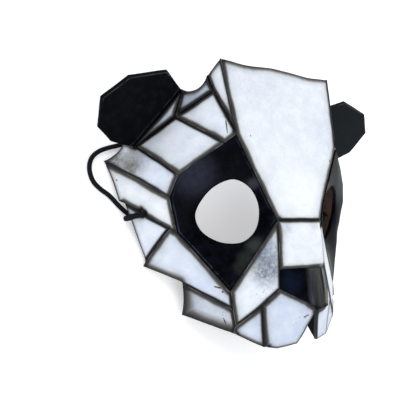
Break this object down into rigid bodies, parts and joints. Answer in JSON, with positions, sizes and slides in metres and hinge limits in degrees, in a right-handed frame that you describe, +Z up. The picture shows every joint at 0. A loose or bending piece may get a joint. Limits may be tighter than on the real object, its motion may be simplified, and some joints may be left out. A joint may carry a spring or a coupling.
{
  "type": "panda mask",
  "caption": "Half mask of moulded leather shaped as a panda's face in flat facets, with round eye holes, a notched lip, ears and a head cord, worn over the upper face.",
  "frame": {"origin": "middle of the mask's footprint, on the surface that its rim rests on", "axes": "+X to the right of someone facing the mask, +Y from chin to crown, +Z up out of the face; the mask lies face up on its temple and cheek tips and leans 14.8 degrees towards the chin"},
  "size_m": [0.2366, 0.1732, 0.077],
  "materials": {
    "white_leather": "white acrylic paint sponged with pale blue-grey, browned along the edges, satin",
    "black_leather": "blue-black paint, satin, smooth",
    "ear_leather": "black paint, nearly matt, with a burnished edge",
    "cord": "black round braid over an elastic core, matt"
  },
  "bodies": {
    "root": {"forehead": "white_leather", "bridge": "white_leather", "nose": "black_leather", "brow_strip_left": "white_leather", "upper_brow_left": "white_leather", "brow_left": "white_leather", "temple_left": "white_leather", "ear_base_left": "white_leather", "upper_wing_left": "white_leather", "cheek_wing_left": "white_leather", "cheek_gusset_left": "white_leather", "cheek_left": "white_leather", "jaw_left": "white_leather", "muzzle_side_left": "white_leather", "lip_side_left": "white_leather", "lip_left": "white_leather", "eye_patch_left": "black_leather", "ear_left": "ear_leather", "cord_tie_left": "cord", "brow_strip_right": "white_leather", "upper_brow_right": "white_leather", "brow_right": "white_leather", "temple_right": "white_leather", "ear_base_right": "white_leather", "upper_wing_right": "white_leather", "cheek_wing_right": "white_leather", "cheek_gusset_right": "white_leather", "cheek_right": "white_leather", "jaw_right": "white_leather", "muzzle_side_right": "white_leather", "lip_side_right": "white_leather", "lip_right": "white_leather", "eye_patch_right": "black_leather", "ear_right": "ear_leather", "cord_tie_right": "cord", "head_cord": "cord"}
  },
  "joints": []
}
